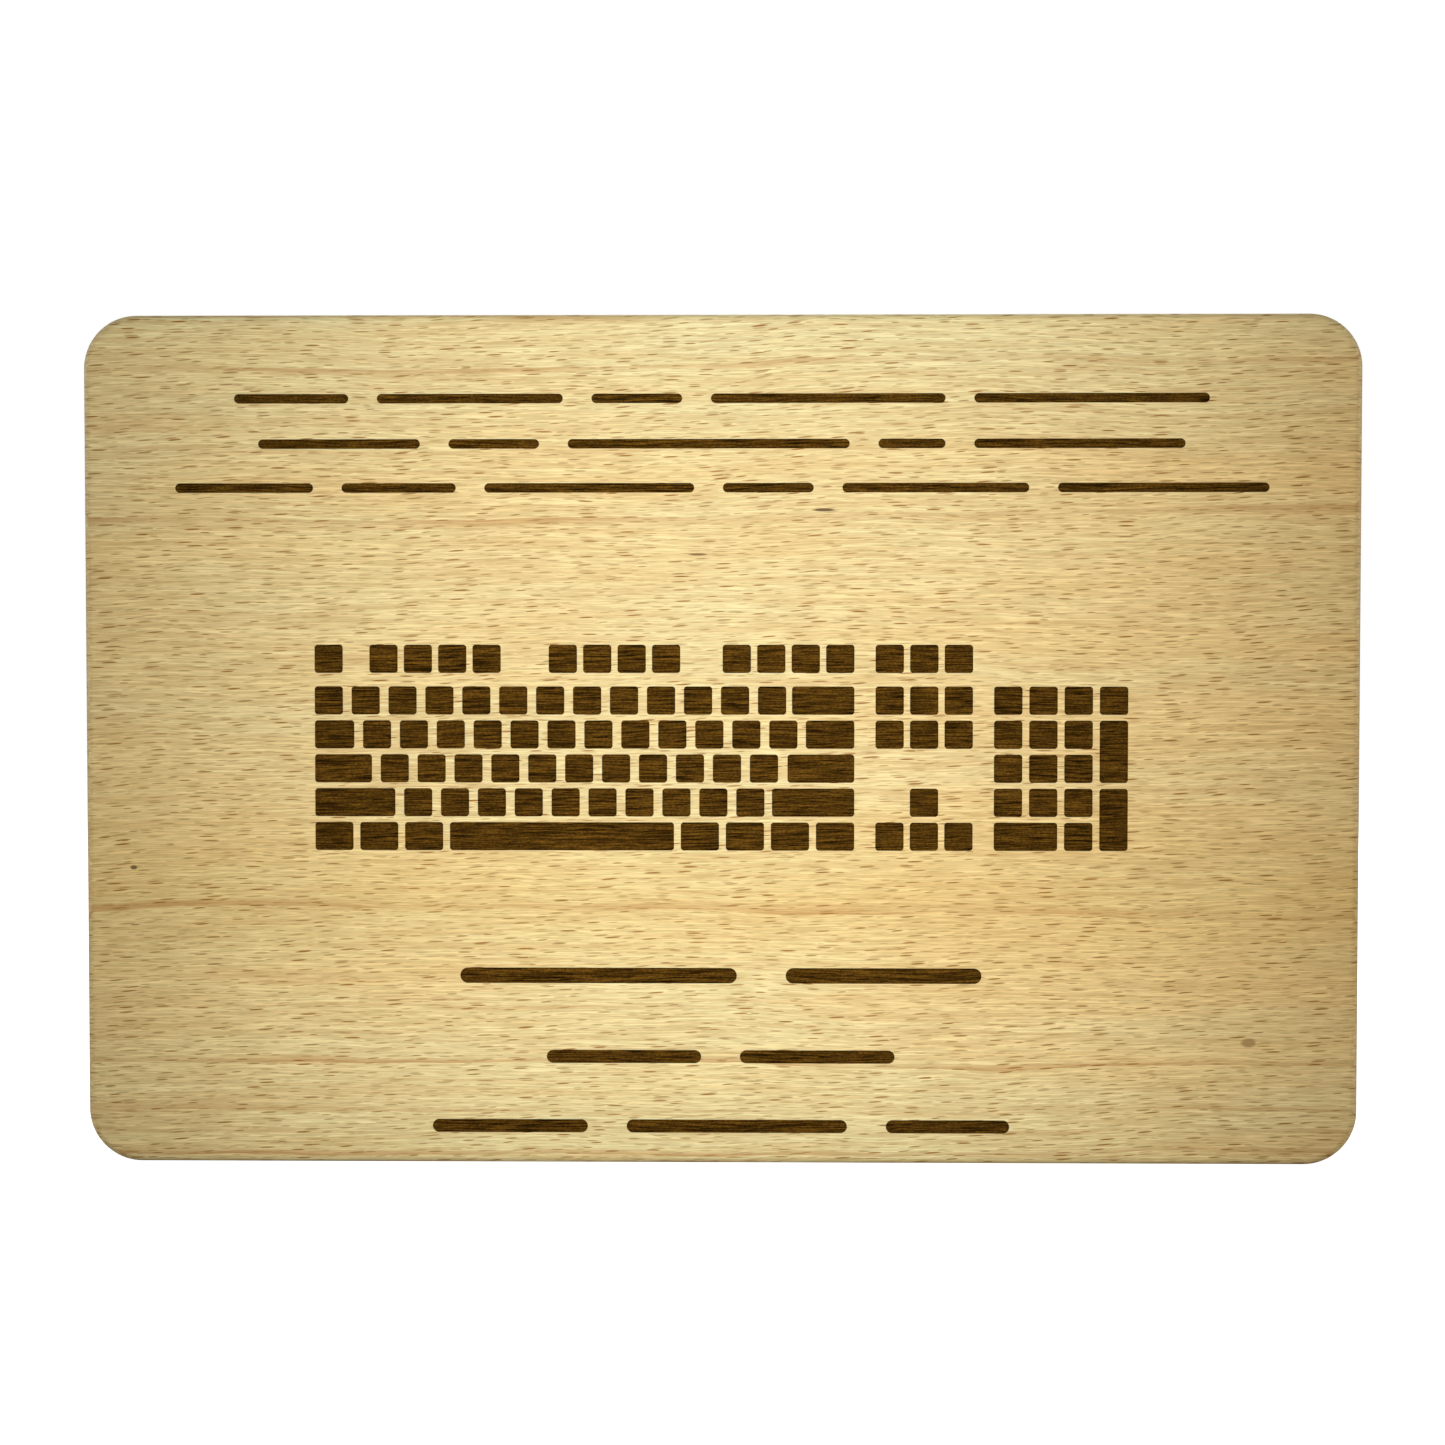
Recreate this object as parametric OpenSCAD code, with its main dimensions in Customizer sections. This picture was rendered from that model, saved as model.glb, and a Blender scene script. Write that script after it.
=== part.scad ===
// Wooden wall plaque. One beech plank carries a burnt picture of a keyboard and burnt bars that
// stand in for wording. A keyhole plate is let into the back, so that it hangs on one wall screw.
// X runs across the plaque, Z runs up, and the front faces -Y. The wall is the plane Y = 0.
// The origin is where the wall screw's shank rests, at the top of the keyhole.

/* [Plank] */
// Width of the plank
plank_w = 300; // [275:1:420]
// Height of the plank
plank_h = 200; // [170:1:300]
// Thickness of the plank
plank_t = 15; // [13:0.5:25]
// Radius of the plank's four corners, seen from the front
corner_r = 12.5; // [5:0.5:20]
// Radius of the rounded edges between the faces and the sides
edge_r = 2; // [0.5:0.25:3]

/* [Engraving] */
// Depth of the pockets that the laser burns out
pocket_depth = 0.5; // [0.3:0.05:1]
// Thickness of the burnt layer on a pocket's floor
burnt_t = 0.15; // [0.1:0.05:0.25]

/* [Keyboard picture] */
// Side of a square key
key_side = 6.65; // [5:0.05:6.7]
// Radius of a key's corners
key_r = 0.75; // [0.3:0.05:1.5]
// Gap between neighbouring letter keys
letter_gap = 2.05; // [1:0.05:2.05]
// Gap between neighbouring function keys and navigation keys
small_gap = 1.45; // [1:0.05:1.6]
// Gap between neighbouring number pad keys
pad_gap = 1.6; // [1:0.05:3]
// Gap between neighbouring keys beside the space bar
modifier_gap = 1.6; // [1:0.05:3]
// Gap between one row and the next
row_gap = 1.35; // [1:0.05:3]
// Gap between the function row and the number row
function_row_gap = 3.15; // [2:0.05:8]
// Gap between the three blocks of keys
block_gap = 4.95; // [3:0.05:8]
// Width of the main block
main_w = 127.05; // [127.05:0.05:132]
// Width of each of the seven keys beside the space bar
modifier_w = 9; // [7:0.1:10]
// Distance from the plank's centre down to the picture's centre
picture_drop = 1.6; // [0:0.1:6]

/* [Placeholder bars] */
// Thickness of a bar, as a share of the height of the letters that it stands for
bar_share = 0.34; // [0.2:0.02:0.6]
// Space that a word leaves beside its bar, as a share of the letter pitch
bar_side_share = 0.2; // [0.1:0.05:0.6]

/* [Hanger] */
// Distance from the plank's top edge down to the hanging point
hang_drop = 35; // [32:1:60]
// Length of the hanger plate
hanger_l = 44; // [44:1:60]
// Width of the hanger plate
hanger_w = 16; // [15:0.5:22]
// Thickness of the hanger plate
hanger_t = 1.5; // [1.5:0.1:2.5]
// Radius of the hole that the wall screw's head goes in by
entry_r = 4.75; // [4:0.25:5]
// Radius of the slot that the wall screw's shank slides up
slot_r = 2.25; // [1.75:0.25:2.75]
// Distance from the entry hole's centre up to the hanging point
slot_rise = 10; // [8:0.5:11]
// Depth of the room for the wall screw's head behind the plate
head_room = 5; // [4.5:0.25:6]
// Length of a hanger screw, its head included
screw_l = 10; // [8:0.5:11]
// Radius of a hanger screw's shank
screw_r = 1.5; // [1.25:0.25:1.5]

/* [Hidden] */
$fn = 64;

// Colours
beech = "#e2c98f";
burnt = "#4a3107";
zinc = "#b9bcc0";

// The plank's edges
plank_top = hang_drop;
plank_bottom = hang_drop - plank_h;
plank_centre = hang_drop - plank_h / 2;

// The picture's rows, as the height of each row's lower side above the lowest row's lower side
row_pitch = key_side + row_gap;
space_row_z = 0;
lower_row_z = row_pitch;
home_row_z = 2 * row_pitch;
upper_row_z = 3 * row_pitch;
number_row_z = 4 * row_pitch;
function_row_z = number_row_z + key_side + function_row_gap;
tall_key_h = key_side + row_pitch;

// The picture's columns, as distances from its left side
small_pitch = key_side + small_gap;
pad_pitch = key_side + pad_gap;
navigation_x = main_w + block_gap;
navigation_w = 3 * key_side + 2 * small_gap;
pad_x = navigation_x + navigation_w + block_gap;
picture_w = pad_x + 4 * key_side + 3 * pad_gap;
picture_h = function_row_z + key_side;
picture_left = -picture_w / 2;
picture_bottom = plank_centre - picture_drop - picture_h / 2;

// Where the three groups of four function keys start
function_groups = [12.95, 55.2, main_w - 4 * key_side - 3 * small_gap];
// A main row is its left key's width, how many letter keys follow, and its right key's width
number_row = [key_side, 12, 14.65];
upper_row = [9.3, 12, 11.4];
home_row = [13.45, 11, 15.7];
lower_row = [18.95, 10, 19.35];

// A line of wording is its letters' height and pitch, the distance from the plank's top or bottom
// edge to the line's middle, and how many letters each word's bar stands for
dedication_letter_h = 6.6;
dedication_pitch = 5.6;
dedication_1 = [dedication_letter_h, dedication_pitch, 19.7, [5, 8, 4, 10, 10]];
dedication_2 = [dedication_letter_h, dedication_pitch, 30.3, [7, 4, 12, 3, 9]];
dedication_3 = [dedication_letter_h, dedication_pitch, 40.6, [6, 5, 9, 4, 8, 9]];
name_line = [10.8, 9.6, 44.6, [7, 5]];
dates_line = [9.2, 7.6, 25.4, [5, 5]];
organisation_line = [9.2, 7.65, 8.9, [5, 7, 4]];
// The straight length left at a bar's round end, so that no side of its outline has no length
least_flat = 0.02;

// The hanger plate, and the room behind it
plate_gap = 0.15;
entry_z = -slot_rise;
hanger_z = -slot_rise / 2;
head_room_gap = 0.75;
head_room_r = entry_r + head_room_gap;

// The hanger screws, and the cross that a driver turns each one by
screw_inset = 4.5;
screw_reach = hanger_l / 2 - screw_inset;
screw_zs = [hanger_z - screw_reach, hanger_z + screw_reach];
screw_gap = 0.05;
screw_head_r = 2 * screw_r;
screw_head_h = screw_head_r - screw_r;
screw_tip_l = 3;
screw_tip_r = 0.1;
cross_share = 0.6;
cross_l = cross_share * 2 * screw_head_r;
cross_w = 0.7;
cross_depth = 1;

// How far a cutter runs past the face that it cuts
past = 1;

// Adds up the first n numbers of a list
function sum_to(list, n) = n == 0 ? 0 : list[n - 1] + sum_to(list, n - 1);

// ---- Outlines, drawn in X and Z ----

// A rectangle with round corners, from its lower left corner
module rounded_rect(w, h, r) {
    translate([r, 0]) square([w - 2 * r, h]);
    translate([0, r]) square([w, h - 2 * r]);
    for (x = [r, w - r], z = [r, h - r])
        translate([x, z]) circle(r);
}

// An upright slot with round ends, round a middle point
module upright_slot(l, r) {
    translate([-r, -l / 2 + r]) square([2 * r, l - 2 * r]);
    for (z = [-l / 2 + r, l / 2 - r])
        translate([0, z]) circle(r);
}

// One key, placed from the picture's lower left corner
module key(x, z, w = key_side, h = key_side) {
    translate([picture_left + x, picture_bottom + z]) rounded_rect(w, h, key_r);
}

// One row of the main block: a left key, letter keys, and a right key that ends the row
module main_row(row, z) {
    key(0, z, row[0]);
    for (i = [0 : row[1] - 1])
        key(row[0] + letter_gap + i * (key_side + letter_gap), z);
    key(main_w - row[2], z, row[2]);
}

module function_row_outline() {
    key(0, function_row_z);
    for (start = function_groups, i = [0 : 3])
        key(start + i * small_pitch, function_row_z);
    for (i = [0 : 2])
        key(navigation_x + i * small_pitch, function_row_z);
}

module number_row_outline() {
    main_row(number_row, number_row_z);
}

module upper_row_outline() {
    main_row(upper_row, upper_row_z);
}

module home_row_outline() {
    main_row(home_row, home_row_z);
}

module lower_row_outline() {
    main_row(lower_row, lower_row_z);
}

// Three modifier keys, the space bar, and four more modifier keys
module space_row_outline() {
    step = modifier_w + modifier_gap;
    for (i = [0 : 2])
        key(i * step, space_row_z, modifier_w);
    key(3 * step, space_row_z, main_w - 7 * step);
    for (i = [1 : 4])
        key(main_w + modifier_gap - i * step, space_row_z, modifier_w);
}

module navigation_outline() {
    for (i = [0 : 2], z = [number_row_z, upper_row_z])
        key(navigation_x + i * small_pitch, z);
}

module arrow_outline() {
    key(navigation_x + small_pitch, lower_row_z);
    for (i = [0 : 2])
        key(navigation_x + i * small_pitch, space_row_z);
}

// Three columns of keys, a wide key at the bottom left, and two tall keys in the fourth column
module number_pad_outline() {
    for (i = [0 : 2], z = [number_row_z, upper_row_z, home_row_z, lower_row_z])
        key(pad_x + i * pad_pitch, z);
    key(pad_x + 3 * pad_pitch, number_row_z);
    key(pad_x + 3 * pad_pitch, home_row_z, key_side, tall_key_h);
    key(pad_x + 3 * pad_pitch, space_row_z, key_side, tall_key_h);
    key(pad_x, space_row_z, key_side + pad_pitch);
    key(pad_x + 2 * pad_pitch, space_row_z);
}

// A centred line of bars, one for each word, with one letter's pitch between words
module bar_line(line, z) {
    pitch = line[1];
    words = line[3];
    bar_h = bar_share * line[0];
    side = bar_side_share * pitch;
    cells = sum_to(words, len(words)) + len(words) - 1;
    for (i = [0 : len(words) - 1]) {
        start = (sum_to(words, i) + i - cells / 2) * pitch;
        translate([start + side / 2, z - bar_h / 2])
            rounded_rect(words[i] * pitch - side, bar_h, (bar_h - least_flat) / 2);
    }
}

module dedication_outline(line) {
    bar_line(line, plank_top - line[2]);
}

module footer_outline(line) {
    bar_line(line, plank_bottom + line[2]);
}

module all_marks() {
    function_row_outline();
    number_row_outline();
    upper_row_outline();
    home_row_outline();
    lower_row_outline();
    space_row_outline();
    navigation_outline();
    arrow_outline();
    number_pad_outline();
    dedication_outline(dedication_1);
    dedication_outline(dedication_2);
    dedication_outline(dedication_3);
    footer_outline(name_line);
    footer_outline(dates_line);
    footer_outline(organisation_line);
}

// ---- Solids ----

// Gives an outline a thickness, from the depth y and towards -Y
module slab(y, t) {
    translate([0, y, 0]) rotate([90, 0, 0]) linear_extrude(t) children();
}

// The plank's edge in section: its round edges are at x = corner_r, and its thickness runs along y
module edge_section() {
    square([corner_r - edge_r, plank_t]);
    translate([0, edge_r]) square([corner_r, plank_t - 2 * edge_r]);
    for (y = [edge_r, plank_t - edge_r])
        translate([corner_r - edge_r, y]) circle(edge_r);
}

// One side of the blank with the corner that it runs into, turned to face its way
module blank_side(turn, reach, l) {
    rotate(turn) translate([reach, l / 2, 0]) {
        rotate([90, 0, 0]) linear_extrude(l) edge_section();
        rotate_extrude(angle = 90) edge_section();
    }
}

// The plank before it is engraved, lying face up with its centre at the origin
module blank() {
    inner_w = plank_w - 2 * corner_r;
    inner_h = plank_h - 2 * corner_r;
    translate([-inner_w / 2, -inner_h / 2, 0]) cube([inner_w, inner_h, plank_t]);
    blank_side(0, inner_w / 2, inner_h);
    blank_side(90, inner_h / 2, inner_w);
    blank_side(180, inner_w / 2, inner_h);
    blank_side(270, inner_h / 2, inner_w);
}

// The burnt layer on the floor of the pockets that an outline gives
module burnt_layer() {
    color(burnt) slab(pocket_depth - plank_t, burnt_t) children();
}

module plank() {
    color(beech) difference() {
        translate([0, 0, plank_centre]) rotate([90, 0, 0]) blank();
        slab(pocket_depth - plank_t, pocket_depth + past) all_marks();
        slab(past, hanger_t + past)
            translate([0, hanger_z]) upright_slot(hanger_l, hanger_w / 2);
        slab(past, hanger_t + head_room + past)
            translate([0, hanger_z]) upright_slot(slot_rise + 2 * head_room_r, head_room_r);
        for (z = screw_zs)
            slab(past, screw_l + screw_gap + past) translate([0, z]) circle(screw_r + screw_gap);
    }
}

// The cone under a screw's flat head, which is also the shape of its countersink with a gap
module screw_head(gap = 0) {
    cylinder(h = screw_head_h, r1 = screw_head_r + gap, r2 = screw_r + gap);
}

module hanger_plate() {
    color(zinc) difference() {
        slab(0, hanger_t)
            translate([0, hanger_z]) upright_slot(hanger_l - 2 * plate_gap, hanger_w / 2 - plate_gap);
        slab(past, hanger_t + 2 * past) {
            translate([0, entry_z]) circle(entry_r);
            translate([-slot_r, entry_z]) square([2 * slot_r, slot_rise]);
            circle(slot_r);
        }
        for (z = screw_zs) {
            slab(past, hanger_t + 2 * past) translate([0, z]) circle(screw_r + screw_gap);
            translate([0, 0, z]) rotate([90, 0, 0]) screw_head(screw_gap);
        }
    }
}

// A countersunk wood screw along -Y, with its head's face at Y = 0
module countersunk_screw() {
    shank_l = screw_l - screw_head_h - screw_tip_l;
    rotate([90, 0, 0]) difference() {
        union() {
            screw_head();
            translate([0, 0, screw_head_h]) cylinder(h = shank_l, r = screw_r);
            translate([0, 0, screw_l - screw_tip_l])
                cylinder(h = screw_tip_l, r1 = screw_r, r2 = screw_tip_r);
        }
        for (turn = [0, 90])
            rotate(turn) translate([-cross_l / 2, -cross_w / 2, -past])
                cube([cross_l, cross_w, cross_depth + past]);
    }
}

module hanger_screws() {
    color(zinc) for (z = screw_zs)
        translate([0, 0, z]) countersunk_screw();
}

module burnt_function_row() {
    burnt_layer() function_row_outline();
}

module burnt_number_row() {
    burnt_layer() number_row_outline();
}

module burnt_upper_row() {
    burnt_layer() upper_row_outline();
}

module burnt_home_row() {
    burnt_layer() home_row_outline();
}

module burnt_lower_row() {
    burnt_layer() lower_row_outline();
}

module burnt_space_row() {
    burnt_layer() space_row_outline();
}

module burnt_navigation_keys() {
    burnt_layer() navigation_outline();
}

module burnt_arrow_keys() {
    burnt_layer() arrow_outline();
}

module burnt_number_pad() {
    burnt_layer() number_pad_outline();
}

module burnt_dedication_1() {
    burnt_layer() dedication_outline(dedication_1);
}

module burnt_dedication_2() {
    burnt_layer() dedication_outline(dedication_2);
}

module burnt_dedication_3() {
    burnt_layer() dedication_outline(dedication_3);
}

module burnt_name() {
    burnt_layer() footer_outline(name_line);
}

module burnt_dates() {
    burnt_layer() footer_outline(dates_line);
}

module burnt_organisation() {
    burnt_layer() footer_outline(organisation_line);
}

plank();
burnt_function_row();
burnt_number_row();
burnt_upper_row();
burnt_home_row();
burnt_lower_row();
burnt_space_row();
burnt_navigation_keys();
burnt_arrow_keys();
burnt_number_pad();
burnt_dedication_1();
burnt_dedication_2();
burnt_dedication_3();
burnt_name();
burnt_dates();
burnt_organisation();
hanger_plate();
hanger_screws();
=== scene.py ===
# %% [markdown]
# # A laser-engraved beech plaque
#
# One board of beech, cut and rounded, with a picture of a keyboard burnt into its front by a laser.
# A steel keyhole plate is let into its back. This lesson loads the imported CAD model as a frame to
# build in, sets the camera and the lights, and then makes each material and each piece.

# %% Load the frame
import math

import bmesh
import bpy
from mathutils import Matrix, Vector


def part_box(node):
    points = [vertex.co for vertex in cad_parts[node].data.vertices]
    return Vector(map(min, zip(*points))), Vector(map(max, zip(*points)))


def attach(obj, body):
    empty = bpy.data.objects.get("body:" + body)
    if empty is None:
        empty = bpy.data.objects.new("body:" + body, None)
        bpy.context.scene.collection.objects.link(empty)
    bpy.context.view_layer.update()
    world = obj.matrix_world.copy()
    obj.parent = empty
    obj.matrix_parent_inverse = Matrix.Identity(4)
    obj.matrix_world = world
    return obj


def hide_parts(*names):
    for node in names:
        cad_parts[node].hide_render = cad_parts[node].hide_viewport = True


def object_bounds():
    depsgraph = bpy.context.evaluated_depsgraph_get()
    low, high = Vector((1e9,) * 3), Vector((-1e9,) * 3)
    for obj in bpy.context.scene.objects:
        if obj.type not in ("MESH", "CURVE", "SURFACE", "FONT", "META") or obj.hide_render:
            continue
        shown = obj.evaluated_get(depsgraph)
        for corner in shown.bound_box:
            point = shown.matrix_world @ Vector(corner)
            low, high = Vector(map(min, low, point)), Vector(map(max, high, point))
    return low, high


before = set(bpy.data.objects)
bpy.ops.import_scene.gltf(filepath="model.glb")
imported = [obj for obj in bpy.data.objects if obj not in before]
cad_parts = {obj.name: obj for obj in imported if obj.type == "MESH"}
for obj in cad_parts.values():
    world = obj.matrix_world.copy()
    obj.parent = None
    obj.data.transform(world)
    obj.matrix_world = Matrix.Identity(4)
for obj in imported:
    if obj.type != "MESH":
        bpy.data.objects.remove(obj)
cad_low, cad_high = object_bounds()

MM = 0.001
print("CAD box in mm:", [round(v / MM, 2) for v in cad_high - cad_low])

# %% [markdown]
# ## The camera
#
# A plaque is usually shown almost square on, from eye height, with a lens long enough not to
# stretch it. The camera here is turned one degree to the right and two degrees up, and looks at a
# point a little above the board's middle.

# %% Camera
VIEW_AZIMUTH = math.radians(1.0)
VIEW_ELEVATION = math.radians(2.0)
VIEW_DISTANCE = 650 * MM
VIEW_AIM = Vector((0.34, 0, 4.08)) * MM  # from the board's middle to what the camera looks at
LENS = 68.1  # mm
SENSOR = 36  # mm

plank_low, plank_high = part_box("plank")
plank_middle = (plank_low + plank_high) / 2
sight = Vector(
    (
        -math.sin(VIEW_AZIMUTH) * math.cos(VIEW_ELEVATION),
        math.cos(VIEW_AZIMUTH) * math.cos(VIEW_ELEVATION),
        -math.sin(VIEW_ELEVATION),
    )
)
camera_data = bpy.data.cameras.new("camera")
camera_data.lens = LENS
camera_data.sensor_width = SENSOR
camera = bpy.data.objects.new("camera", camera_data)
camera.location = plank_middle + VIEW_AIM - sight * VIEW_DISTANCE
camera.rotation_euler = sight.to_track_quat("-Z", "Y").to_euler()
bpy.context.collection.objects.link(camera)
bpy.context.scene.camera = camera
bpy.context.scene.view_settings.view_transform = "Standard"
print("camera at mm:", [round(v / MM, 1) for v in camera.location])

# %% [markdown]
# ## Two helpers for every node tree
#
# Hex colours are how paint charts and screens name a colour, but shaders work with linear light, so
# one function turns the first into the second. The other function adds a node, sets what it is
# given and links what it is fed, which keeps each tree down to a few readable lines. Inputs can be
# named by number: a Map Range node takes its value as 0, the range this comes from as 1 and 2, and
# the range it goes to as 3 and 4. Those four are 0 to 1 where nothing is given.


# %% Helpers
def linear(hex_colour):
    """An sRGB hex colour as linear RGBA."""
    shares = [int(hex_colour[i : i + 2], 16) / 255 for i in (1, 3, 5)]
    return (*[s / 12.92 if s <= 0.04045 else ((s + 0.055) / 1.055) ** 2.4 for s in shares], 1)


def add(tree, kind, inputs=None, output=0, **settings):
    """Adds a node and returns one of its outputs. inputs holds values, or outputs to link."""
    node = tree.nodes.new(kind)
    for name, value in settings.items():
        setattr(node, name, value)
    for name, value in (inputs or {}).items():
        if isinstance(value, bpy.types.NodeSocket):
            tree.links.new(value, node.inputs[name])
        else:
            node.inputs[name].default_value = value
    return node.outputs[output] if len(node.outputs) else node


# %% [markdown]
# ## Room light
#
# The board stands in a white light tent. The tent looks pure white to the camera, but it gives the
# board much less light than it seems to, so the world has one strength for the camera and another
# for everything else.

# %% World
TENT_LIGHT = 0.13

world = bpy.data.worlds.new("white tent")
bpy.context.scene.world = world
world.use_nodes = True
tree = world.node_tree
tree.nodes.clear()
seen = add(tree, "ShaderNodeLightPath", output="Is Camera Ray")
strength = add(
    tree, "ShaderNodeMath", {0: seen, 1: 1 - TENT_LIGHT, 2: TENT_LIGHT}, operation="MULTIPLY_ADD"
)
tent = add(tree, "ShaderNodeBackground", {"Color": linear("#ffffff"), "Strength": strength})
add(tree, "ShaderNodeOutputWorld", {"Surface": tent})
print("tent light:", TENT_LIGHT)

# %% [markdown]
# ## Lamps
#
# A soft box stands close in front of the board. Because it is near, its light falls away towards
# the ends, which gives the bright middle and the warm, darker sides. It has to stay above the
# floor, so a second, low box fills in the board's lower edge. The others stand level with the board
# or behind it: one at each end and one above light the edges, and one lights the back. No lamp
# shows to the camera.

# %% Lamps


def soft_box(name, place, facing, width, height, watts):
    """A rectangular lamp at place, looking along facing. Places and sizes are in metres."""
    lamp = bpy.data.lights.new(name, "AREA")
    lamp.shape = "RECTANGLE"
    lamp.size = width
    lamp.size_y = height
    lamp.energy = watts
    holder = bpy.data.objects.new(name, lamp)
    holder.location = place
    holder.rotation_euler = Vector(facing).to_track_quat("-Z", "Y").to_euler()
    holder.visible_camera = False
    bpy.context.collection.objects.link(holder)


FRONT_PLACE = Vector((-3, -132, 57)) * MM  # from the middle of the board's face
LOW_PLACE = Vector((-3, -70, -80)) * MM

face_middle = Vector((0, plank_low.y, plank_middle.z))
soft_box("front soft box", face_middle + FRONT_PLACE, (0, 1, 0), 0.233, 0.314, 0.416)
soft_box("low soft box", face_middle + LOW_PLACE, (0, 1, 0), 0.233, 0.036, 0.0164)
soft_box("back soft box", (0.15, 0.9, 0.35), (-0.15, -0.9, -0.4), 0.7, 0.7, 9)
soft_box("left soft box", (-0.9, 0.1, 0.1), (1, 0, -0.15), 0.2, 0.7, 3)
soft_box("right soft box", (0.9, 0.1, 0.1), (-1, 0, -0.15), 0.2, 0.7, 3)
soft_box("top soft box", (0, 0.1, 0.8), (0, 0, -1), 0.7, 0.2, 0.12)
print("lamps:", len(bpy.data.lights))

# %% [markdown]
# ## The floor
#
# A sheet of white paper lies under the board. It glows a little for the camera only, so that it
# runs into the white tent without a line and keeps just a faint shadow where the board touches it.

# %% Floor
FLOOR_HALF = 3.0
FLOOR_GLOW = 0.95
PAPER = "#b8b8b6"

floor_mesh = bpy.data.meshes.new("paper floor")
floor_z = cad_low.z
corners = [
    (x * FLOOR_HALF, y * FLOOR_HALF, floor_z) for x, y in ((-1, -1), (1, -1), (1, 1), (-1, 1))
]
floor_mesh.from_pydata(corners, [], [(0, 1, 2, 3)])
floor = bpy.data.objects.new("paper_floor", floor_mesh)
bpy.context.collection.objects.link(floor)
paper = bpy.data.materials.new("white_paper")
paper.use_nodes = True
tree = paper.node_tree
tree.nodes.clear()
seen = add(tree, "ShaderNodeLightPath", output="Is Camera Ray")
glow_strength = add(tree, "ShaderNodeMath", {0: seen, 1: FLOOR_GLOW}, operation="MULTIPLY")
glow = add(tree, "ShaderNodeEmission", {"Color": linear("#ffffff"), "Strength": glow_strength})
sheet = add(tree, "ShaderNodeBsdfDiffuse", {"Color": linear(PAPER)})
both = add(tree, "ShaderNodeAddShader", {0: glow, 1: sheet})
add(tree, "ShaderNodeOutputMaterial", {"Surface": both})
floor_mesh.materials.append(paper)
print("floor at mm:", round(floor_z / MM, 1))

# %% [markdown]
# ## The figure of beech
#
# A planed beech board shows faint growth rings, short brown flecks and fine streaks of fibre. All
# three are solid patterns, set out in millimetres inside the board, so that the face, the edges and
# the end grain each cut them the way a saw would. They are kept in one group, because the burnt
# wood shows the same figure.
#
# ### Grain and streaks
#
# The grain runs along the board, but never quite straight. So a soft noise first sways every place
# by a few millimetres, and all the patterns are drawn at the swayed places. A streak is a noise
# drawn out along the grain. A Mapping node of the Texture kind divides by its scale, so its scale
# is a pattern's real size.

# %% Grain and streaks
GRAIN_SLOPE = math.radians(0.3)  # the grain climbs a little from left to right
GRAIN_DIVE = math.radians(0.18)  # and runs slightly out of the face
WANDER_CELL = (75, 60, 42)  # mm
WANDER = (0, 1.5, 5)  # mm
MIDDLE_GREY = (0.5, 0.5, 0.5)  # a noise's middle, taken off so that it sways both ways
NOISE_LOW, NOISE_HIGH = 0.3, 0.7  # a soft noise seldom goes past these


def streaks(tree, place, sizes, shift, detail=1.0, output=0):
    """Soft streaks of these sizes in mm along, through and across the grain."""
    cell = add(
        tree,
        "ShaderNodeMapping",
        {"Vector": place, "Location": shift, "Scale": sizes},
        vector_type="TEXTURE",
    )
    return add(
        tree, "ShaderNodeTexNoise", {"Vector": cell, "Scale": 1.0, "Detail": detail}, output
    )


def grain(tree, place):
    """A place in metres as mm along, through and across grain that wanders by a few millimetres."""
    mm = add(tree, "ShaderNodeVectorMath", {0: place, "Scale": 1 / MM}, operation="SCALE")
    turned = add(
        tree, "ShaderNodeMapping", {"Vector": mm, "Rotation": (0, GRAIN_SLOPE, GRAIN_DIVE)}
    )
    sway = streaks(tree, turned, WANDER_CELL, (-280, -220, -155), 3.0, "Color")
    sway = add(tree, "ShaderNodeVectorMath", {0: sway, 1: MIDDLE_GREY}, operation="SUBTRACT")
    sway = add(tree, "ShaderNodeVectorMath", {0: sway, 1: WANDER}, operation="MULTIPLY")
    return add(tree, "ShaderNodeVectorMath", {0: turned, 1: sway}, operation="ADD")


print("grain wanders by mm:", WANDER)

# %% [markdown]
# ### Growth rings
#
# A tree adds a shell of wood each year, and a flat-sawn board cuts the shells as long, slightly
# curved lines. The distance from the tree's heart, counted in ring widths, gives each ring a whole
# number, and what is left over says where in its ring a place lies. The last part of a ring is the
# dark late wood. Most rings of beech are faint, so each year draws a strength of its own, and every
# line fades here and there.

# %% Growth rings
HEART = Vector((0, -150, 59))  # from the tree's heart to the frame's origin, in mm
RING_WIDTH = 2.6
LATE_WOOD = 0.7  # where in a ring the darker late wood begins
LATE_WOOD_END = 0.97
FAINTNESS = 1.7  # the higher this power, the fewer rings stand out
RING_PATCH = (55, 30, 14)  # mm, the size of the patches where the lines fade
FADED = 0.35  # how much of a line is left there


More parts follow.
